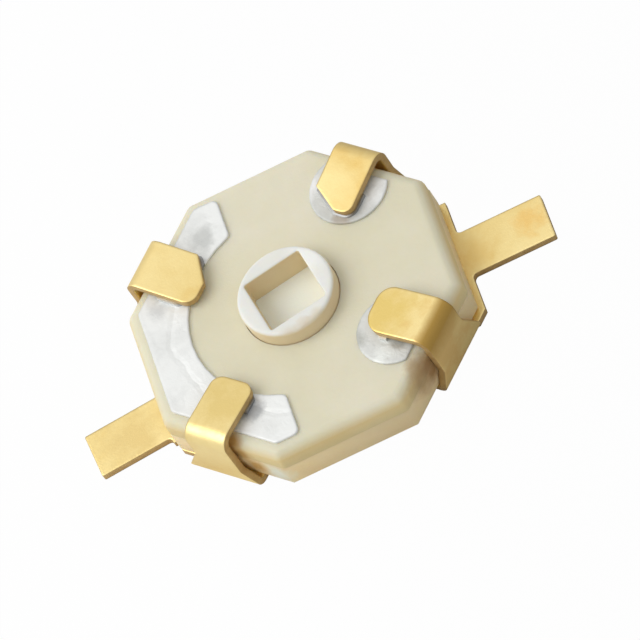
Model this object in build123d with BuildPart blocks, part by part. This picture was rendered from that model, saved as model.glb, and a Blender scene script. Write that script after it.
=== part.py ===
"""Rotary ceramic trimmer capacitor: an octagonal ceramic body held by two folded, gold-plated terminals.

The origin is at the middle of the underside, +Z points up out of the tuning socket, and the two
ribbon leads run along X. Lengths are in millimetres, angles in degrees.
"""

import os
from math import cos, radians, sin, tan

from build123d import *

# Ceramic body: a housing cup below and the stator plate on top
across_flats = 5.08
housing_height = 0.50
housing_edge_chamfer = 0.06
housing_floor_thickness = 0.10
housing_wall_thickness = 0.64
stator_thickness = 0.38
stator_edge_radius = 0.19
stator_corner_radius = 0.14

# Folded terminals
sheet_thickness = 0.12
foot_bend_radius = 0.05
foot_overlap_length = 0.30
wall_clearance = 0.06
plate_inset_width = 0.70
flange_overhang_width = 0.09
flange_end_width = 0.12
lead_width = 0.82
rotor_lead_reach = 4.05
stator_lead_reach = 3.93
lead_root_radius = 0.08
lead_tip_radius = 0.03
stator_lead_offset = -0.33
stator_lead_yaw = 5.0
terminal_split_offset = 0.90
terminal_gap = 0.35
spring_seat_overlap_width = 0.15

# Clips, bent by hand and each a little different; along its side of the octagon, a clip's place counts
# as positive towards the lead
rotor_front_clip_width = 0.80
rotor_front_clip_reach = 1.08
rotor_front_clip_offset = 0.19
rotor_front_clip_inset = 0.04
rotor_front_lead_corner_radius = 0.26
rotor_front_free_corner_radius = 0.32
rotor_front_root_lead_width = 0.65
rotor_front_root_free_width = 0.54
rotor_rear_clip_width = 0.75
rotor_rear_clip_reach = 1.05
rotor_rear_clip_offset = -0.045
rotor_rear_lead_corner_radius = 0.16
rotor_rear_cut_length = 0.30
rotor_rear_cut_width = 0.46
rotor_rear_root_lead_width = 0.60
rotor_rear_root_free_width = 0.45
stator_front_clip_width = 0.73
stator_front_clip_reach = 1.00
stator_front_clip_offset = 0.11
stator_front_corner_radius = 0.19
stator_front_root_lead_width = 0.66
stator_front_root_free_width = 0.58
stator_rear_clip_width = 0.83
stator_rear_clip_reach = 1.13
stator_rear_clip_offset = 0.21
stator_rear_clip_inset = 0.025
stator_rear_lead_corner_radius = 0.20
stator_rear_cut_length = 0.33
stator_rear_cut_width = 0.42
stator_rear_root_lead_width = 0.74
stator_rear_root_free_width = 0.40
clip_bend_radius = 0.12
clip_slope = 5.0
root_lead_taper_height = 0.66
root_free_taper_height = 0.40

# Fired silver films, and the solder under the clips
film_thickness = 0.04
film_margin = 0.21
electrode_width = 0.65
electrode_end_offset = 0.57
electrode_corner_radius = 0.10
rear_pad_radius = 0.64
rear_pad_inset_length = 0.30
front_pad_radius = 0.61
front_pad_inset_length = 0.43
solder_thickness = 0.03
solder_overlap_width = 0.03
solder_depth = 0.45

# Rotor and the spring under it
boss_wall_thickness = 0.085
boss_height = 0.70
boss_edge_radius = 0.06
boss_clearance = 0.012
socket_width = 1.00
socket_depth = 0.50
socket_turn = 10.0
socket_corner_radius = 0.04
socket_mouth_radius = 0.02
rotor_clearance = 0.06
rotor_thickness = 0.28
rotor_film_margin = 0.05
rotor_film_gap = 0.03
running_clearance = 0.02
spring_thickness = 0.06
spring_width = 0.80
spring_inset_width = 0.50
spring_clearance = 0.05

# Octagon
side_count = 8
octagon_turn = 22.5
diagonal_turn = 45.0
half_flats = across_flats / 2
side_length = across_flats * tan(radians(octagon_turn))
film_flats = across_flats - 2 * film_margin

# Circles about the axis
cavity_radius = half_flats - housing_wall_thickness
rotor_radius = cavity_radius - rotor_clearance
rotor_electrode_outer_radius = rotor_radius - rotor_film_margin
boss_radius = socket_width / 2 / cos(radians(diagonal_turn)) + boss_wall_thickness
rotor_electrode_inner_radius = boss_radius + rotor_film_gap
spring_outer_radius = cavity_radius - spring_inset_width
spring_inner_radius = spring_outer_radius - spring_width
spring_seat_radius = spring_outer_radius + spring_seat_overlap_width
electrode_inner_radius = film_flats / 2 - electrode_width
rear_pad_circle_radius = film_flats / 2 - rear_pad_inset_length
front_pad_circle_radius = film_flats / 2 - front_pad_inset_length

# Levels, from the seating plane upwards
housing_top = sheet_thickness + housing_height
body_top = housing_top + stator_thickness
film_top = body_top + film_thickness
rotor_film_top = housing_top - running_clearance
rotor_top = rotor_film_top - film_thickness
rotor_bottom = rotor_top - rotor_thickness
spring_top = rotor_bottom - running_clearance
boss_top = rotor_film_top + boss_height
socket_floor = boss_top - socket_depth

# Clip section, in a plane through the axis: the wall stands up from the foot and bends in over the plate
wall_inside = half_flats + wall_clearance
wall_outside = wall_inside + sheet_thickness
foot_start = half_flats - foot_overlap_length
foot_bend_middle = wall_inside - foot_bend_radius
foot_bend_top = sheet_thickness + foot_bend_radius
foot_bend_outer = foot_bend_radius + sheet_thickness
slope_sin = sin(radians(clip_slope))
slope_cos = cos(radians(clip_slope))
clip_bend_outer = clip_bend_radius + sheet_thickness
clip_bend_middle = wall_inside - clip_bend_radius
tip_bottom = film_top + solder_thickness
tongue_root = clip_bend_middle - clip_bend_radius * slope_sin
tip_face_run = sheet_thickness * slope_sin
tip_face_rise = sheet_thickness * slope_cos
bend_sweep = 90.0 + clip_slope

# Clip places: turned to their side of the octagon, then moved along it
stator_front_turn = 180 + diagonal_turn
stator_rear_turn = 180 - diagonal_turn
rotor_front_place = Location((0, 0, 0), (0, 0, -diagonal_turn))
rotor_front_place *= Location((-rotor_front_clip_inset, rotor_front_clip_offset, 0))
rotor_rear_place = Location((0, 0, 0), (0, 0, diagonal_turn))
rotor_rear_place *= Location((0, -rotor_rear_clip_offset, 0))
stator_front_place = Location((0, 0, 0), (0, 0, stator_front_turn))
stator_front_place *= Location((0, -stator_front_clip_offset, 0))
stator_rear_place = Location((0, 0, 0), (0, 0, stator_rear_turn))
stator_rear_place *= Location((-stator_rear_clip_inset, stator_rear_clip_offset, 0))

# Sheets and leads
flange_edge = half_flats + flange_overhang_width
front_root_end = rotor_front_root_lead_width + rotor_front_clip_offset
web_edge = foot_bend_middle - rotor_front_clip_inset + foot_bend_outer * sin(radians(diagonal_turn))
web_depth = (web_edge - front_root_end) * sin(radians(diagonal_turn))
plate_depth = across_flats - 2 * plate_inset_width
stator_flange_depth = lead_width - 2 * stator_lead_offset + 2 * flange_end_width
stator_lead_rear = stator_lead_offset + lead_width / 2
stator_lead_front = stator_lead_offset - lead_width / 2
yaw_sin = sin(radians(stator_lead_yaw))
yaw_cos = cos(radians(stator_lead_yaw))
stator_lead_length = (stator_lead_reach - half_flats - lead_width / 2 * yaw_sin) / yaw_cos

# Housing: the ceramic cup that the rotor turns in, with a round window in its floor for the spring
with BuildPart() as housing:
    with BuildSketch(Plane.XY.offset(sheet_thickness)):
        RegularPolygon(half_flats, side_count, major_radius=False, rotation=octagon_turn)
        Circle(spring_outer_radius + spring_clearance, mode=Mode.SUBTRACT)
    extrude(amount=housing_height)
    with BuildSketch(Plane.XY.offset(sheet_thickness + housing_floor_thickness)):
        Circle(cavity_radius)
    extrude(amount=housing_height - housing_floor_thickness, mode=Mode.SUBTRACT)
    lower_rim = housing.faces().sort_by(Axis.Z)[0].outer_wire().edges()
    chamfer(lower_rim, housing_edge_chamfer)

# Stator plate: the ceramic lid, pierced for the rotor's boss, its upper edge ground round
with BuildPart() as stator_plate:
    with BuildSketch(Plane.XY.offset(housing_top)):
        RegularPolygon(half_flats, side_count, major_radius=False, rotation=octagon_turn)
    extrude(amount=stator_thickness)
    fillet(stator_plate.edges().filter_by(Axis.Z), stator_corner_radius)
    upper_rim = stator_plate.faces().sort_by(Axis.Z)[-1].edges()
    fillet(upper_rim, stator_edge_radius)
    with BuildSketch(Plane.XY.offset(housing_top)):
        Circle(boss_radius + boss_clearance)
    extrude(amount=stator_thickness, mode=Mode.SUBTRACT)

# Stator electrode: a C of fired silver around one half of the plate
with BuildPart() as stator_electrode:
    with BuildSketch(Plane.XY.offset(body_top)) as electrode_outline:
        RegularPolygon(film_flats / 2, side_count, major_radius=False, rotation=octagon_turn)
        Circle(electrode_inner_radius, mode=Mode.SUBTRACT)
        with Locations((-electrode_end_offset, 0)):
            Rectangle(across_flats, across_flats, align=(Align.MIN, Align.CENTER), mode=Mode.SUBTRACT)
        fillet(electrode_outline.vertices(), electrode_corner_radius)
    extrude(amount=film_thickness)

# Pads: round silver films under the two clips of the rotor terminal, cut straight along the plate's edge
with BuildPart() as rear_pad:
    with BuildSketch(Plane.XY.offset(body_top)):
        with PolarLocations(rear_pad_circle_radius, 1, diagonal_turn):
            Circle(rear_pad_radius)
        RegularPolygon(
            film_flats / 2, side_count, major_radius=False, rotation=octagon_turn, mode=Mode.INTERSECT
        )
    extrude(amount=film_thickness)

with BuildPart() as front_pad:
    with BuildSketch(Plane.XY.offset(body_top)):
        with PolarLocations(front_pad_circle_radius, 1, -diagonal_turn):
            Circle(front_pad_radius)
        RegularPolygon(
            film_flats / 2, side_count, major_radius=False, rotation=octagon_turn, mode=Mode.INTERSECT
        )
    extrude(amount=film_thickness)

# Rotor: a ceramic disc with its boss, and a square socket for the tuning tool
with BuildPart() as rotor:
    with BuildSketch(Plane.XY.offset(rotor_bottom)):
        Circle(rotor_radius)
    extrude(amount=rotor_thickness)
    with BuildSketch(Plane.XY.offset(rotor_top)):
        Circle(boss_radius)
    extrude(amount=boss_top - rotor_top)
    boss_edge = rotor.faces().sort_by(Axis.Z)[-1].edges()
    fillet(boss_edge, boss_edge_radius)
    with BuildSketch(Plane.XY.offset(socket_floor)):
        RectangleRounded(socket_width, socket_width, socket_corner_radius, rotation=socket_turn)
    extrude(amount=socket_depth, mode=Mode.SUBTRACT)
    socket_mouth = rotor.faces().sort_by(Axis.Z)[-1].inner_wires()[0].edges()
    fillet(socket_mouth, socket_mouth_radius)

# Rotor electrode: a half ring of silver on the disc, facing the stator plate
with BuildPart() as rotor_electrode:
    with BuildSketch(Plane.XY.offset(rotor_top)):
        Circle(rotor_electrode_outer_radius)
        Circle(rotor_electrode_inner_radius, mode=Mode.SUBTRACT)
        Rectangle(
            across_flats,
            across_flats,
            rotation=socket_turn,
            align=(Align.MIN, Align.CENTER),
            mode=Mode.SUBTRACT,
        )
    extrude(amount=film_thickness)

# Spring washer: a dished ring between the rotor terminal's seat and the rotor
with BuildPart() as spring_washer:
    with BuildSketch(Plane.XZ):
        Polygon(
            (spring_outer_radius, sheet_thickness),
            (spring_outer_radius, sheet_thickness + spring_thickness),
            (spring_inner_radius, spring_top),
            (spring_inner_radius, spring_top - spring_thickness),
            align=None,
        )
    revolve(axis=Axis.Z)



def tongue_root_level(reach):
    """Height of the underside of a clip's tongue where its bend begins."""
    return tip_bottom + (tongue_root - wall_inside + reach) * slope_sin / slope_cos


def clip(width, reach, lead_corner_radius, root_lead, root_free):
    """One clip on the +X side with the lead towards +Y: foot and lower bend, tapered wall, tongue."""
    tip = wall_inside - reach
    bend_level = tongue_root_level(reach) - clip_bend_radius * slope_cos
    with BuildPart() as piece:
        with BuildSketch(Plane.XZ.offset(-root_lead)):
            with BuildLine():
                Line((foot_start, 0), (foot_bend_middle, 0))
                CenterArc((foot_bend_middle, foot_bend_top), foot_bend_outer, 270, 90)
                Line((wall_outside, foot_bend_top), (wall_inside, foot_bend_top))
                CenterArc((foot_bend_middle, foot_bend_top), foot_bend_radius, 270, 90)
                Line((foot_bend_middle, sheet_thickness), (foot_start, sheet_thickness))
                Line((foot_start, sheet_thickness), (foot_start, 0))
            make_face()
        extrude(amount=root_lead + root_free)
        with BuildSketch(Plane.YZ.offset(wall_inside)):
            Polygon(
                (-root_free, foot_bend_top),
                (root_lead, foot_bend_top),
                (width / 2, root_lead_taper_height),
                (width / 2, bend_level),
                (-width / 2, bend_level),
                (-width / 2, root_free_taper_height),
                align=None,
            )
        extrude(amount=sheet_thickness)
        with BuildSketch(Plane.XZ.offset(-width / 2)):
            with BuildLine():
                Line((wall_inside, bend_level), (wall_outside, bend_level))
                outer_bend = CenterArc((clip_bend_middle, bend_level), clip_bend_outer, 0, bend_sweep)
                upper_tip = (tip - tip_face_run, tip_bottom + tip_face_rise)
                Line(outer_bend @ 1, upper_tip)
                Line(upper_tip, (tip, tip_bottom))
                inner_bend = CenterArc((clip_bend_middle, bend_level), clip_bend_radius, 0, bend_sweep)
                Line((tip, tip_bottom), inner_bend @ 1)
            make_face()
        extrude(amount=width)
        tip_corners = piece.faces().sort_by(Axis.X)[0].edges().filter_by(Axis.Y, reverse=True)
        fillet(tip_corners.sort_by(Axis.Y)[-1], lead_corner_radius)
    return piece.part


def round_free_corner(square_clip, corner_radius):
    """The clip with the corner of its tip away from the lead rounded."""
    with BuildPart() as piece:
        add(square_clip)
        tip_corners = piece.faces().sort_by(Axis.X)[0].edges().filter_by(Axis.Y, reverse=True)
        fillet(tip_corners.sort_by(Axis.Y)[0], corner_radius)
    return piece.part


def cut_free_corner(square_clip, cut_length, cut_width):
    """The clip with the corner of its tip away from the lead cut off along a straight line."""
    with BuildPart() as piece:
        add(square_clip)
        tip_face = piece.faces().sort_by(Axis.X)[0]
        tip_corners = tip_face.edges().filter_by(Axis.Y, reverse=True)
        chamfer(tip_corners.sort_by(Axis.Y)[0], cut_width, cut_length, reference=tip_face)
    return piece.part


def solder(width, reach, start, lead_corner_radius, cut_length, cut_width):
    """A wedge on the +X side that runs out from a start, between the film and a clip's tongue."""
    tip = wall_inside - reach
    near = start - solder_overlap_width
    half_width = width / 2 + solder_overlap_width
    with BuildPart() as piece:
        with BuildSketch(Plane.XY.offset(film_top)) as puddle:
            with Locations((near, 0)):
                Rectangle(solder_depth, 2 * half_width, align=(Align.MIN, Align.CENTER))
            free_corner = puddle.vertices().sort_by_distance((near, -half_width))[0]
            tip_edge = puddle.edges().sort_by(Axis.X)[0]
            chamfer(free_corner, cut_width, cut_length, reference=tip_edge)
            lead_corner = puddle.vertices().sort_by_distance((near, half_width))[0]
            fillet(lead_corner, lead_corner_radius + solder_overlap_width)
        extrude(amount=sheet_thickness)
        with BuildSketch(Plane.XZ):
            Polygon(
                (tip - solder_overlap_width, film_top),
                (tip, tip_bottom),
                (tongue_root, tongue_root_level(reach)),
                (tongue_root, film_top),
                align=None,
            )
        extrude(amount=across_flats, both=True, mode=Mode.INTERSECT)
    return piece.part


# Web: carries the rotor terminal's flange round the octagon's corner to the foot of the front clip
with BuildSketch() as front_web:
    RegularPolygon(web_edge, side_count, major_radius=False, rotation=octagon_turn)
    with Locations((foot_start, 0)):
        Rectangle(
            flange_edge - foot_start, web_depth, align=(Align.MIN, Align.MAX), mode=Mode.INTERSECT
        )

# The four clips; those with the lead towards -Y are mirrored
rotor_front_blank = clip(
    rotor_front_clip_width,
    rotor_front_clip_reach,
    rotor_front_lead_corner_radius,
    rotor_front_root_lead_width,
    rotor_front_root_free_width,
)
rotor_front_clip = round_free_corner(rotor_front_blank, rotor_front_free_corner_radius)
rotor_rear_blank = clip(
    rotor_rear_clip_width,
    rotor_rear_clip_reach,
    rotor_rear_lead_corner_radius,
    rotor_rear_root_lead_width,
    rotor_rear_root_free_width,
)
rotor_rear_clip = cut_free_corner(rotor_rear_blank, rotor_rear_cut_length, rotor_rear_cut_width)
rotor_rear_clip = rotor_rear_clip.mirror(Plane.XZ)
stator_front_blank = clip(
    stator_front_clip_width,
    stator_front_clip_reach,
    stator_front_corner_radius,
    stator_front_root_lead_width,
    stator_front_root_free_width,
)
stator_front_clip = round_free_corner(stator_front_blank, stator_front_corner_radius)
stator_front_clip = stator_front_clip.mirror(Plane.XZ)
stator_rear_blank = clip(
    stator_rear_clip_width,
    stator_rear_clip_reach,
    stator_rear_lead_corner_radius,
    stator_rear_root_lead_width,
    stator_rear_root_free_width,
)
stator_rear_clip = cut_free_corner(stator_rear_blank, stator_rear_cut_length, stator_rear_cut_width)

# Rotor terminal: one sheet with a lead, a seat under the spring and the two clips on the +X side
with BuildPart() as rotor_terminal:
    with BuildSketch() as rotor_sheet:
        RegularPolygon(half_flats, side_count, major_radius=False, rotation=octagon_turn)
        with Locations((terminal_split_offset, 0)):
            Rectangle(across_flats, plate_depth, align=(Align.MIN, Align.CENTER), mode=Mode.INTERSECT)
        Circle(spring_seat_radius)
        Rectangle(flange_edge, side_length, align=(Align.MIN, Align.CENTER))
        Rectangle(rotor_lead_reach, lead_width, align=(Align.MIN, Align.CENTER))
        add(front_web.sketch)
        rear_root = rotor_sheet.vertices().sort_by_distance((flange_edge, lead_width / 2))[0]
        front_root = rotor_sheet.vertices().sort_by_distance((flange_edge, -lead_width / 2))[0]
        fillet([rear_root, front_root], lead_root_radius)
        fillet(rotor_sheet.vertices().sort_by(Axis.X)[-2:], lead_tip_radius)
    extrude(amount=sheet_thickness)
    with Locations(rotor_front_place):
        add(rotor_front_clip)
    with Locations(rotor_rear_place):
        add(rotor_rear_clip)

# Stator terminal: one C-shaped sheet with a lead and the two clips on the -X side
with BuildPart() as stator_terminal:
    with BuildSketch() as stator_sheet:
        RegularPolygon(half_flats, side_count, major_radius=False, rotation=octagon_turn)
        with Locations((-terminal_split_offset, 0)):
            Rectangle(across_flats, plate_depth, align=(Align.MAX, Align.CENTER), mode=Mode.INTERSECT)
        Rectangle(flange_edge, stator_flange_depth, align=(Align.MAX, Align.CENTER))
        Circle(spring_seat_radius + terminal_gap, mode=Mode.SUBTRACT)
        with Locations(Location((-half_flats, stator_lead_offset, 0), (0, 0, stator_lead_yaw))):
            Rectangle(stator_lead_length, lead_width, align=(Align.MAX, Align.CENTER))
        rear_root = stator_sheet.vertices().sort_by_distance((-flange_edge, stator_lead_rear))[0]
        front_root = stator_sheet.vertices().sort_by_distance((-flange_edge, stator_lead_front))[0]
        fillet([rear_root, front_root], lead_root_radius)
        fillet(stator_sheet.vertices().sort_by(Axis.X)[:2], lead_tip_radius)
    extrude(amount=sheet_thickness)
    with Locations(stator_front_place):
        add(stator_front_clip)
    with Locations(stator_rear_place):
        add(stator_rear_clip)

# Solder joints, one under each clip; the stator's rear clip reaches in past its film
rotor_front_wedge = solder(
    rotor_front_clip_width,
    rotor_front_clip_reach,
    wall_inside - rotor_front_clip_reach,
    rotor_front_lead_corner_radius,
    rotor_front_free_corner_radius,
    rotor_front_free_corner_radius,
)
rotor_rear_wedge = solder(
    rotor_rear_clip_width,
    rotor_rear_clip_reach,
    wall_inside - rotor_rear_clip_reach,
    rotor_rear_lead_corner_radius,
    rotor_rear_cut_length,
    rotor_rear_cut_width,
).mirror(Plane.XZ)
stator_front_wedge = solder(
    stator_front_clip_width,
    stator_front_clip_reach,
    wall_inside - stator_front_clip_reach,
    stator_front_corner_radius,
    stator_front_corner_radius,
    stator_front_corner_radius,
).mirror(Plane.XZ)
stator_rear_wedge = solder(
    stator_rear_clip_width,
    stator_rear_clip_reach,
    electrode_inner_radius + solder_overlap_width,
    electrode_corner_radius,
    electrode_corner_radius,
    electrode_corner_radius,
)

with BuildPart() as rotor_front_solder:
    with Locations(rotor_front_place):
        add(rotor_front_wedge)

with BuildPart() as rotor_rear_solder:
    with Locations(rotor_rear_place):
        add(rotor_rear_wedge)

with BuildPart() as stator_front_solder:
    with Locations(stator_front_place):
        add(stator_front_wedge)

with BuildPart() as stator_rear_solder:
    with Locations(stator_rear_place):
        add(stator_rear_wedge)

pieces = {
    "housing": housing,
    "stator_plate": stator_plate,
    "stator_electrode": stator_electrode,
    "rear_pad": rear_pad,
    "front_pad": front_pad,
    "rotor": rotor,
    "rotor_electrode": rotor_electrode,
    "spring_washer": spring_washer,
    "rotor_terminal": rotor_terminal,
    "stator_terminal": stator_terminal,
    "rotor_front_solder": rotor_front_solder,
    "rotor_rear_solder": rotor_rear_solder,
    "stator_front_solder": stator_front_solder,
    "stator_rear_solder": stator_rear_solder,
}

os.makedirs("parts", exist_ok=True)
for label, piece in pieces.items():
    piece.part.label = label
    export_step(piece.part, f"parts/{label}.step")
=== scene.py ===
import math

import bpy
from mathutils import Matrix, Vector
from mathutils.bvhtree import BVHTree

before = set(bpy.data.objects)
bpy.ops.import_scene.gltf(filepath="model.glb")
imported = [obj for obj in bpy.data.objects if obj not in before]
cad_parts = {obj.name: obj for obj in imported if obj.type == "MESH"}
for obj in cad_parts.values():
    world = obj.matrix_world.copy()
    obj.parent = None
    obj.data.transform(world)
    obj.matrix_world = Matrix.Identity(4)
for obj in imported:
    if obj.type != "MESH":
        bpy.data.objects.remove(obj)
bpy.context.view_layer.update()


# Terminals: two blanks stamped from thin brass ribbon, folded up into clips and plated with satin gold.
# The rotor's blank carries the right lead and the spring seat, the stator's the left lead. Both are
# soldered to the plate's films at the tips of their clips, and the plating is tarnished in places. The
# outer part of the front right clip's bend is darkened with painted shade.
millimetre = 0.001


def dress(node, edge, *materials):
    """Rounds a piece's sharp edges by that radius, shades its curves smooth and gives it its materials."""
    merge_gap = 0.0001
    sharp_angle = 50
    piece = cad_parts[node]
    mesh = piece.data
    if "custom_normal" in mesh.attributes:
        mesh.attributes.remove(mesh.attributes["custom_normal"])
    for face in mesh.polygons:
        face.use_smooth = True
    weld = piece.modifiers.new("joined corners", "WELD")
    weld.merge_threshold = merge_gap * millimetre
    bevel = piece.modifiers.new("broken edges", "BEVEL")
    bevel.width = edge * millimetre
    bevel.segments = 3
    bevel.limit_method = "ANGLE"
    bevel.angle_limit = math.radians(sharp_angle)
    bevel.harden_normals = True
    mesh.materials.clear()
    for material in materials:
        mesh.materials.append(material)


def part_cut_edges(node, sheet):
    """Gives the second material to a folded sheet's cut edges, which have more metal behind them."""
    start_depth = 0.002
    face_depth_ratio = 1.5
    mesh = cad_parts[node].data
    corners = [vertex.co for vertex in mesh.vertices]
    metal = BVHTree.FromPolygons(corners, [face.vertices[:] for face in mesh.polygons])
    for face in mesh.polygons:
        start = face.center - face.normal * start_depth * millimetre
        _, _, _, depth = metal.ray_cast(start, -face.normal)
        face.material_index = int(depth is None or depth > face_depth_ratio * sheet * millimetre)


def feed(tree, socket, value):
    """Links a socket to another node's output, or sets it to a constant."""
    if isinstance(value, bpy.types.NodeSocket):
        tree.links.new(value, socket)
    else:
        socket.default_value = value


def new_material(name):
    """A material with its node tree, its shader and coordinates counted in millimetres."""
    material = bpy.data.materials.new(name)
    material.use_nodes = True
    tree = material.node_tree
    place = tree.nodes.new("ShaderNodeTexCoord")
    ruler = tree.nodes.new("ShaderNodeVectorMath")
    ruler.operation = "SCALE"
    feed(tree, ruler.inputs[0], place.outputs["Object"])
    feed(tree, ruler.inputs["Scale"], 1 / millimetre)
    return material, tree, tree.nodes["Principled BSDF"], ruler.outputs["Vector"]


def noise(tree, where, scale, detail=3, roughness=0.5, distortion=0.0):
    """A noise texture of so many grains a millimetre."""
    texture = tree.nodes.new("ShaderNodeTexNoise")
    feed(tree, texture.inputs["Vector"], where)
    feed(tree, texture.inputs["Scale"], scale)
    feed(tree, texture.inputs["Detail"], detail)
    feed(tree, texture.inputs["Roughness"], roughness)
    feed(tree, texture.inputs["Distortion"], distortion)
    return texture.outputs["Fac"]


def ramp(tree, value, *stops):
    """Colours picked by a value: each stop is a position and a colour."""
    picker = tree.nodes.new("ShaderNodeValToRGB")
    points = picker.color_ramp.elements
    for point, (position, colour) in zip(points, (stops[0], stops[-1])):
        point.position = position
        point.color = (*colour, 1)
    for position, colour in stops[1:-1]:
        points.new(position).color = (*colour, 1)
    feed(tree, picker.inputs["Fac"], value)
    return picker.outputs["Color"]


def spread(tree, value, low, high, start=0.3, end=0.7):
    """A value that runs from low to high as another runs from start to end."""
    span = tree.nodes.new("ShaderNodeMapRange")
    feed(tree, span.inputs["Value"], value)
    feed(tree, span.inputs["From Min"], start)
    feed(tree, span.inputs["From Max"], end)
    feed(tree, span.inputs["To Min"], low)
    feed(tree, span.inputs["To Max"], high)
    return span.outputs["Result"]


def combine(tree, operation, *values):
    """One step of arithmetic on numbers."""
    step = tree.nodes.new("ShaderNodeMath")
    step.operation = operation
    for socket, value in zip(step.inputs, values):
        feed(tree, socket, value)
    return step.outputs["Value"]


def measure(tree, operation, where, other):
    """A distance from another place, or a reach along a direction."""
    gauge = tree.nodes.new("ShaderNodeVectorMath")
    gauge.operation = operation
    feed(tree, gauge.inputs[0], where)
    feed(tree, gauge.inputs[1], other)
    return gauge.outputs["Value"]


def coordinate(tree, vector, axis):
    """One of a vector's three coordinates."""
    parts = tree.nodes.new("ShaderNodeSeparateXYZ")
    feed(tree, parts.inputs["Vector"], vector)
    return parts.outputs[axis]


def blend(tree, share, colour, other):
    """Goes from one colour to another as a share rises from nought to one."""
    mixer = tree.nodes.new("ShaderNodeMix")
    mixer.data_type = "RGBA"
    feed(tree, mixer.inputs["Factor"], share)
    feed(tree, mixer.inputs["A"], colour)
    feed(tree, mixer.inputs["B"], other)
    return mixer.outputs["Result"]


def stain(tree, where, spot, colour, raggedness=0.4):
    """Tints a colour in a ragged spot, given by its middle, its reach and its tint."""
    core_share = 0.3
    middle, reach, tint = spot
    wander = noise(tree, where, scale=3.5, detail=4, roughness=0.6)
    ragged = spread(tree, wander, -raggedness * reach, raggedness * reach)
    gap = combine(tree, "ADD", measure(tree, "DISTANCE", where, middle), ragged)
    share = spread(tree, gap, 1, 0, core_share * reach, reach)
    return blend(tree, share, colour, (*tint, 1))


def bump(tree, shader, height, depth, strength=1.0, rolled=0.0):
    """Raises the surface by a height texture, up to that depth in millimetres, over rolled edges."""
    relief = tree.nodes.new("ShaderNodeBump")
    if rolled > 0:
        roll = tree.nodes.new("ShaderNodeBevel")
        roll.samples = 8
        feed(tree, roll.inputs["Radius"], rolled * millimetre)
        feed(tree, relief.inputs["Normal"], roll.outputs["Normal"])
    feed(tree, relief.inputs["Strength"], strength)
    feed(tree, relief.inputs["Distance"], depth * millimetre)
    feed(tree, relief.inputs["Height"], height)
    feed(tree, shader.inputs["Normal"], relief.outputs["Normal"])


sheet_thickness = 0.12
terminal_edge = 0.02
terminal_roll = 0.05
gold_shades = (
    (0.30, (0.82, 0.58, 0.20)),
    (0.46, (0.88, 0.69, 0.30)),
    (0.68, (0.95, 0.78, 0.38)),
)
tarnish_spots = (
    ((3.72, 0.04, 0.12), 0.34, (0.88, 0.61, 0.22)),
    ((2.75, -0.05, 0.12), 0.30, (0.84, 0.62, 0.24)),
    ((1.25, -1.10, 1.20), 0.75, (0.82, 0.62, 0.21)),
    ((1.85, -1.85, 0.65), 0.80, (0.85, 0.61, 0.25)),
    ((-1.45, -1.40, 1.20), 0.65, (0.84, 0.65, 0.26)),
    ((-3.20, -0.40, 0.12), 0.70, (0.82, 0.63, 0.27)),
)
front_right = Vector((1, -1, 0)).normalized()
bend_start, bend_end = 2.43, 2.58
bend_foot, bend_top = 0.70, 1.08
# Painted shade on the outer part of the front right clip's bend.
painted_bend_shade = (0.56, 0.35, 0.09)
cut_shades = ((0.3, (0.50, 0.32, 0.11)), (0.7, (0.62, 0.43, 0.18)))

gold, tree, shader, where = new_material("satin gold plating")
blotches = noise(tree, where, scale=0.8, detail=5, roughness=0.6, distortion=0.4)
plating = ramp(tree, blotches, *gold_shades)
for spot in tarnish_spots:
    plating = stain(tree, where, spot, plating)
# A band over the outer part of the front right clip's bend, where the plating is darkened with painted
# shade.
outward = measure(tree, "DOT_PRODUCT", where, front_right)
past_bend = spread(tree, outward, 0, 1, bend_start, bend_end)
above_wall = spread(tree, coordinate(tree, where, "Z"), 0, 1, bend_foot, bend_top)
painted_bend_shade_mask = combine(tree, "MULTIPLY", past_bend, above_wall)
feed(tree, shader.inputs["Base Color"], blend(tree, painted_bend_shade_mask, plating, (*painted_bend_shade, 1)))
feed(tree, shader.inputs["Metallic"], 1.0)
grain = noise(tree, where, scale=24, detail=5, roughness=0.7)
feed(tree, shader.inputs["Roughness"], spread(tree, grain, low=0.36, high=0.50))
bump(tree, shader, grain, depth=0.006, strength=0.5, rolled=terminal_roll)

cut, tree, shader, where = new_material("cut edge of the gold sheet")
shear = noise(tree, where, scale=9, detail=4, roughness=0.6)
feed(tree, shader.inputs["Base Color"], ramp(tree, shear, *cut_shades))
feed(tree, shader.inputs["Metallic"], 0.4)
feed(tree, shader.inputs["Roughness"], spread(tree, shear, low=0.42, high=0.58))
bump(tree, shader, shear, depth=0.008, strength=0.5, rolled=terminal_roll)

for node in ("rotor_terminal", "stator_terminal"):
    dress(node, terminal_edge, gold, cut)
    part_cut_edges(node, sheet_thickness)


# Housing: an octagonal cup pressed from tan ceramic and fired. It rests on the terminals' sheets, and the
# plate is bonded to its rim. Its sides beside the two front clips are darkened with painted shade.
def fire(tree, shader, where, grain, dullness, translucence, scatter, depth, relief, rolled=0.0):
    """Gives a ceramic its dull, finely speckled surface that lets a little light in."""
    speck = noise(tree, where, **grain)
    feed(tree, shader.inputs["Roughness"], spread(tree, speck, *dullness))
    feed(tree, shader.inputs["Subsurface Weight"], translucence)
    feed(tree, shader.inputs["Subsurface Radius"], scatter)
    feed(tree, shader.inputs["Subsurface Scale"], depth * millimetre)
    bump(tree, shader, speck, depth=relief, strength=0.5, rolled=rolled)


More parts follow.
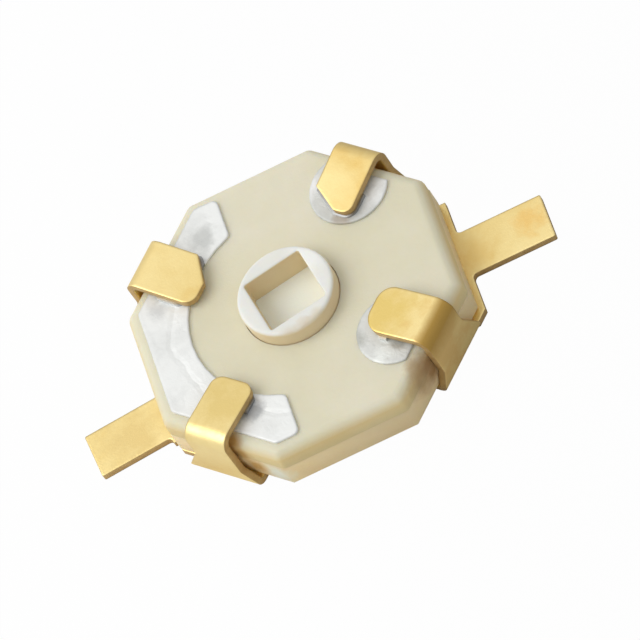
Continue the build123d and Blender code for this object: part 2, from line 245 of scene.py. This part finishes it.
housing_edge = 0.03
housing_shades = ((0.3, (0.94, 0.72, 0.39)), (0.7, (0.98, 0.78, 0.47)))
pale_spot = ((-1.20, -2.40, 0.35), 0.32, (0.97, 0.94, 0.76))
pale_raggedness = 0.2
painted_shade_amber = (0.62, 0.37, 0.12)
painted_shade_tan = (0.52, 0.35, 0.16)
painted_shade_grey = (0.56, 0.46, 0.30)
painted_shade_brown = (0.40, 0.23, 0.09)
# Spots of painted shade on the ceramic beside the front left and front right clips, each a middle, a reach
# and a colour.
painted_clip_shade_spots = (
    ((-1.62, -1.93, 0.98), 0.22, painted_shade_amber),
    ((-1.57, -1.99, 0.70), 0.26, painted_shade_amber),
    ((-1.46, -2.13, 0.42), 0.26, painted_shade_amber),
    ((1.49, -2.09, 0.98), 0.26, painted_shade_grey),
    ((1.44, -2.15, 0.67), 0.40, painted_shade_tan),
    ((1.60, -2.00, 0.75), 0.24, painted_shade_brown),
    ((1.60, -2.00, 0.52), 0.24, painted_shade_brown),
)
painted_shade_raggedness = 0.15

cup, tree, shader, where = new_material("tan housing ceramic")
cloud = noise(tree, where, scale=0.8, detail=4, roughness=0.6)
fired = stain(tree, where, pale_spot, ramp(tree, cloud, *housing_shades), pale_raggedness)
# The painted shade beside the two front clips.
for spot in painted_clip_shade_spots:
    fired = stain(tree, where, spot, fired, painted_shade_raggedness)
feed(tree, shader.inputs["Base Color"], fired)
fire(
    tree,
    shader,
    where,
    grain={"scale": 18, "detail": 4, "roughness": 0.6},
    dullness=(0.5, 0.7),
    translucence=0.3,
    scatter=(1.0, 0.7, 0.35),
    depth=0.3,
    relief=0.008,
)
dress("housing", housing_edge, cup)


# Spring washer: a dished ring of thin copper alloy, pressed between the rotor terminal's seat and the
# rotor. It can't be seen once the part is put together.
washer_edge = 0.01
washer_shades = ((0.3, (0.62, 0.38, 0.20)), (0.7, (0.74, 0.50, 0.28)))

copper, tree, shader, where = new_material("copper alloy spring")
mottle = noise(tree, where, scale=2.5, detail=4)
feed(tree, shader.inputs["Base Color"], ramp(tree, mottle, *washer_shades))
feed(tree, shader.inputs["Metallic"], 1.0)
feed(tree, shader.inputs["Roughness"], spread(tree, mottle, low=0.28, high=0.4))
dress("spring_washer", washer_edge, copper)


# Rotor: a disc and boss pressed in one piece from pale ceramic, fired and ground flat on top, with a
# square socket for the tuning tool. The spring lifts it against the plate. The near side of the boss's rim
# has painted shade and its right side a painted highlight. The socket's floor is painted lighter as
# painted light, and the boss's upright sides darker and browner as painted shade.
def painted_side_shade(tree, level, upright):
    """Goes from the level faces' colour to another on upright ones, which paints shade on the sides."""
    steep, nearly_level = 0.15, 0.85
    facing = tree.nodes.new("ShaderNodeNewGeometry")
    rise = coordinate(tree, facing.outputs["Normal"], "Z")
    return blend(tree, spread(tree, rise, 1, 0, steep, nearly_level), level, upright)


rotor_edge = 0.02
rotor_roll = 0.05
boss_shades = ((0.3, (0.86, 0.86, 0.80)), (0.7, (0.90, 0.90, 0.86)))
boss_side_shades = ((0.3, (0.78, 0.65, 0.41)), (0.7, (0.84, 0.71, 0.47)))
# Each spot is a middle, a reach and a colour: painted shade on the near side of the boss's rim, and a
# painted highlight on its right side.
rim_painted_shade_and_highlight = (
    ((-0.15, -0.82, 1.27), 0.22, (0.74, 0.67, 0.54)),
    ((0.12, -0.81, 1.27), 0.24, (0.74, 0.66, 0.52)),
    ((0.36, -0.74, 1.27), 0.22, (0.76, 0.69, 0.55)),
    ((0.56, 0.45, 1.30), 0.42, (0.98, 0.99, 0.93)),
)
rim_raggedness = 0.2
# Below these heights the socket's floor is painted lighter and greener than the rim: painted light falling
# into the socket.
socket_low, socket_high = 0.84, 0.94
painted_socket_light = (0.96, 1.0, 0.90)

pale, tree, shader, where = new_material("pale rotor ceramic")
cloud = noise(tree, where, scale=1.1, detail=4, roughness=0.6)
ground = ramp(tree, cloud, *boss_shades)
for spot in rim_painted_shade_and_highlight:
    ground = stain(tree, where, spot, ground, rim_raggedness)
in_socket = spread(tree, coordinate(tree, where, "Z"), 1, 0, socket_low, socket_high)
level = blend(tree, in_socket, ground, (*painted_socket_light, 1))
# The boss's upright sides get a darker, browner colour: painted shade.
shaded_sides_colour = ramp(tree, cloud, *boss_side_shades)
feed(tree, shader.inputs["Base Color"], painted_side_shade(tree, level, shaded_sides_colour))
fire(
    tree,
    shader,
    where,
    grain={"scale": 20, "detail": 4, "roughness": 0.6},
    dullness=(0.42, 0.6),
    translucence=0.25,
    scatter=(1.0, 0.75, 0.45),
    depth=0.2,
    relief=0.006,
    rolled=rotor_roll,
)
dress("rotor", rotor_edge, pale)


# Stator plate: an octagon of ivory dielectric ceramic, tumbled so that its upper edge is round, ground on
# top and bonded to the housing. The boss comes up through its hole. Its upright faces are a darker,
# browner colour, and its sides beside the two front clips darker still: both are painted shade.
plate_edge = 0.004
plate_shades = (
    (0.28, (0.77, 0.72, 0.52)),
    (0.5, (0.81, 0.765, 0.575)),
    (0.72, (0.85, 0.80, 0.635)),
)
plate_side_shades = ((0.3, (0.77, 0.59, 0.27)), (0.7, (0.85, 0.68, 0.35)))

ivory, tree, shader, where = new_material("ivory stator ceramic")
cloud = noise(tree, where, scale=0.55, detail=5, roughness=0.6)
ground = ramp(tree, cloud, *plate_shades)
# Upright faces of the plate get a darker, browner colour: painted shade.
fired = painted_side_shade(tree, ground, ramp(tree, cloud, *plate_side_shades))
# The same painted shade beside the two front clips.
for spot in painted_clip_shade_spots:
    fired = stain(tree, where, spot, fired, painted_shade_raggedness)
feed(tree, shader.inputs["Base Color"], fired)
fire(
    tree,
    shader,
    where,
    grain={"scale": 16, "detail": 5, "roughness": 0.65},
    dullness=(0.48, 0.66),
    translucence=0.35,
    scatter=(1.0, 0.75, 0.4),
    depth=0.35,
    relief=0.008,
)
dress("stator_plate", plate_edge, ivory)


# Silver films: thick silver paste brushed on the ceramic and fired to a matt white coat. The C is the
# stator's electrode, with a groove that the brush left along it. Two thinner round pads take the rotor
# terminal's clips, and a half ring inside turns with the rotor.
def fired_silver(name, thin, thick):
    """A matt coat between two tones of grey, with the unevenness of brushed paste."""
    thin_until, thick_from = 0.28, 0.5
    material, tree, shader, where = new_material(name)
    cloud = noise(tree, where, scale=1.6, detail=5, roughness=0.6)
    paste = noise(tree, where, scale=7, detail=5, roughness=0.6, distortion=0.6)
    feed(tree, shader.inputs["Metallic"], 0.30)
    feed(tree, shader.inputs["Roughness"], spread(tree, paste, low=0.45, high=0.62))
    coat = ramp(tree, cloud, (thin_until, thin), (thick_from, thick), (1.0, thick))
    return material, tree, shader, where, coat, paste


film_edge = 0.03
film_roll = 0.06
electrode_thin, electrode_thick = (0.81, 0.82, 0.80), (0.92, 0.93, 0.91)
electrode_spots = (
    ((-0.98, 1.74, 1.04), 0.26, (0.66, 0.67, 0.65)),
    ((-1.12, -1.62, 1.04), 0.20, (0.52, 0.53, 0.53)),
    ((-2.00, 0.85, 1.04), 0.22, (0.74, 0.75, 0.74)),
)
groove_inner, groove_outer = 1.7, 2.3
groove_wander = 0.10
groove_heights = ((0.0, 1), (0.34, 0.8), (0.47, 0.3), (0.60, 0.8), (1.0, 1))
paste_share = 0.5
pad_thin, pad_thick = (0.62, 0.63, 0.60), (0.74, 0.75, 0.72)
# Each spot is a middle, a reach and a colour. The dark spots at the rear pad's lower edge and under the
# front right clip's edge are painted shadow; the others lighten or darken the coat.
pad_tone_and_painted_shadow_spots = (
    ((1.82, 1.12, 1.04), 0.34, (0.89, 0.90, 0.88)),
    ((0.92, 1.80, 1.04), 0.28, (0.91, 0.91, 0.90)),
    ((1.15, 0.93, 1.04), 0.20, (0.53, 0.49, 0.43)),
    ((0.75, -1.25, 1.04), 0.20, (0.56, 0.57, 0.53)),
    ((0.95, -1.75, 1.04), 0.30, (0.89, 0.91, 0.87)),
    ((1.33, -1.63, 1.04), 0.14, (0.50, 0.50, 0.46)),
)

silver, tree, shader, where, coat, paste = fired_silver(
    "thick silver film", electrode_thin, electrode_thick
)
for spot in electrode_spots:
    coat = stain(tree, where, spot, coat)
feed(tree, shader.inputs["Base Color"], coat)
flat = tree.nodes.new("ShaderNodeVectorMath")
flat.operation = "MULTIPLY"
feed(tree, flat.inputs[0], where)
feed(tree, flat.inputs[1], (1, 1, 0))
radius = measure(tree, "DISTANCE", flat.outputs["Vector"], (0, 0, 0))
wander = spread(tree, noise(tree, where, scale=1.1, detail=3), -groove_wander, groove_wander)
brushed = spread(tree, combine(tree, "ADD", radius, wander), 0, 1, groove_inner, groove_outer)
groove = ramp(tree, brushed, *((place, (height,) * 3) for place, height in groove_heights))
bump(
    tree,
    shader,
    combine(tree, "MULTIPLY_ADD", paste, paste_share, groove),
    depth=0.022,
    strength=0.8,
    rolled=film_roll,
)

thin_silver, tree, shader, where, coat, paste = fired_silver(
    "thin silver film", pad_thin, pad_thick
)
for spot in pad_tone_and_painted_shadow_spots:
    coat = stain(tree, where, spot, coat)
feed(tree, shader.inputs["Base Color"], coat)
bump(tree, shader, paste, depth=0.018, strength=0.8, rolled=film_roll)

dress("stator_electrode", film_edge, silver)
for node in ("rear_pad", "front_pad", "rotor_electrode"):
    dress(node, film_edge, thin_silver)


# Solder: a thin wedge of tin solder that wets the film and the underside of each clip's tip. It has dulled
# to dark grey, and stayed brighter beside the front right and the rear left clip.
solder_edge = 0.008
solder_shades = ((0.3, (0.26, 0.26, 0.26)), (0.7, (0.44, 0.44, 0.43)))
bright_spots = (
    ((1.20, -1.55, 1.06), 0.80, (0.80, 0.81, 0.79)),
    ((-1.85, 0.88, 1.06), 0.42, (0.70, 0.71, 0.70)),
)

tin, tree, shader, where = new_material("dull solder")
cloud = noise(tree, where, scale=5, detail=4, roughness=0.6)
wetted = ramp(tree, cloud, *solder_shades)
for spot in bright_spots:
    wetted = stain(tree, where, spot, wetted)
feed(tree, shader.inputs["Base Color"], wetted)
feed(tree, shader.inputs["Metallic"], 0.9)
feed(tree, shader.inputs["Roughness"], spread(tree, cloud, low=0.32, high=0.5))
for node in ("rotor_front_solder", "rotor_rear_solder", "stator_front_solder", "stator_rear_solder"):
    dress(node, solder_edge, tin)


# Floor: a sheet of white paper that the part lies on. It looks white to the camera, and is shaded on the
# right, so that the part's sides there get less light back from it.
floor_size = 4
floor_gap = 0.002
paper_shades = ((0.0, (0.96, 0.96, 0.95)), (1.0, (0.52, 0.52, 0.51)))
paper_left, paper_right = -4, 4
fibre_wander = 0.02
paper_white = (0.995, 0.995, 0.995)
white_share = 0.985

bpy.ops.mesh.primitive_plane_add(size=floor_size, location=(0, 0, -floor_gap * millimetre))
floor = bpy.context.object
floor.name = "white paper"
paper, tree, shader, where = new_material("white paper")
along = spread(tree, coordinate(tree, where, "X"), 0, 1, paper_left, paper_right)
fibres = spread(tree, noise(tree, where, scale=0.2, detail=3), -fibre_wander, fibre_wander)
tone = ramp(tree, combine(tree, "ADD", along, fibres), *paper_shades)
feed(tree, shader.inputs["Base Color"], tone)
feed(tree, shader.inputs["Roughness"], 0.9)
glow = tree.nodes.new("ShaderNodeEmission")
feed(tree, glow.inputs["Color"], (*paper_white, 1))
seen = tree.nodes.new("ShaderNodeLightPath")
either = tree.nodes.new("ShaderNodeMixShader")
feed(tree, either.inputs["Fac"], combine(tree, "MULTIPLY", seen.outputs["Is Camera Ray"], white_share))
feed(tree, either.inputs[1], shader.outputs["BSDF"])
feed(tree, either.inputs[2], glow.outputs["Emission"])
feed(tree, tree.nodes["Material Output"].inputs["Surface"], either.outputs["Shader"])
floor.data.materials.append(paper)


# Light: a softbox high on the left, in a pale room that is brightest under its ceiling. The room is a
# little brighter in the metal's reflections than as light on the dull ceramic.
softbox_distance = 0.50
softbox_side = Vector((-0.66, 0.05, 0.75)).normalized()
ceiling = Vector((-0.45, 0.25, 0.86)).normalized()
room_shades = ((0.0, (0.45,) * 3), (0.5, (0.60,) * 3), (1.0, (0.95,) * 3))
room_on_dull, room_in_mirrors = 0.77, 1

softbox = bpy.data.objects.new("softbox", bpy.data.lights.new("softbox", "AREA"))
bpy.context.scene.collection.objects.link(softbox)
softbox.data.size = 0.40
softbox.data.energy = 1.08
softbox.location = softbox_side * softbox_distance
softbox.rotation_mode = "QUATERNION"
softbox.rotation_quaternion = softbox_side.to_track_quat("Z", "Y")

room = bpy.data.worlds.new("room")
bpy.context.scene.world = room
room.use_nodes = True
tree = room.node_tree
wall = tree.nodes["Background"]
sky = tree.nodes.new("ShaderNodeTexCoord")
upward = measure(tree, "DOT_PRODUCT", sky.outputs["Generated"], ceiling)
feed(tree, wall.inputs["Color"], ramp(tree, spread(tree, upward, 0, 1, -1, 1), *room_shades))
mirrored = tree.nodes.new("ShaderNodeLightPath").outputs["Is Glossy Ray"]
feed(tree, wall.inputs["Strength"], spread(tree, mirrored, room_on_dull, room_in_mirrors, 0, 1))


# Camera: a long lens that looks down on the front at about 54 degrees, rolled so that the leads run up to
# the right.
turn, rise, roll = math.radians(12.87), math.radians(53.52), math.radians(-35.84)
distance, shift_right, shift_up = 116.4, 0.0923, 0.1691

camera = bpy.data.objects.new("camera", bpy.data.cameras.new("camera"))
bpy.context.scene.collection.objects.link(camera)
bpy.context.scene.camera = camera
back = Vector((math.sin(turn) * math.cos(rise), -math.cos(turn) * math.cos(rise), math.sin(rise)))
level = Vector((math.cos(turn), math.sin(turn), 0))
across = math.cos(roll) * level + math.sin(roll) * back.cross(level)
upward = back.cross(across)
camera.matrix_world = Matrix((across, upward, back)).transposed().to_4x4()
camera.location = (back * distance + across * shift_right + upward * shift_up) * millimetre
camera.data.lens = 424.7
camera.data.clip_start = 0.001
camera.data.clip_end = 10

bpy.context.scene.view_settings.view_transform = "Standard"
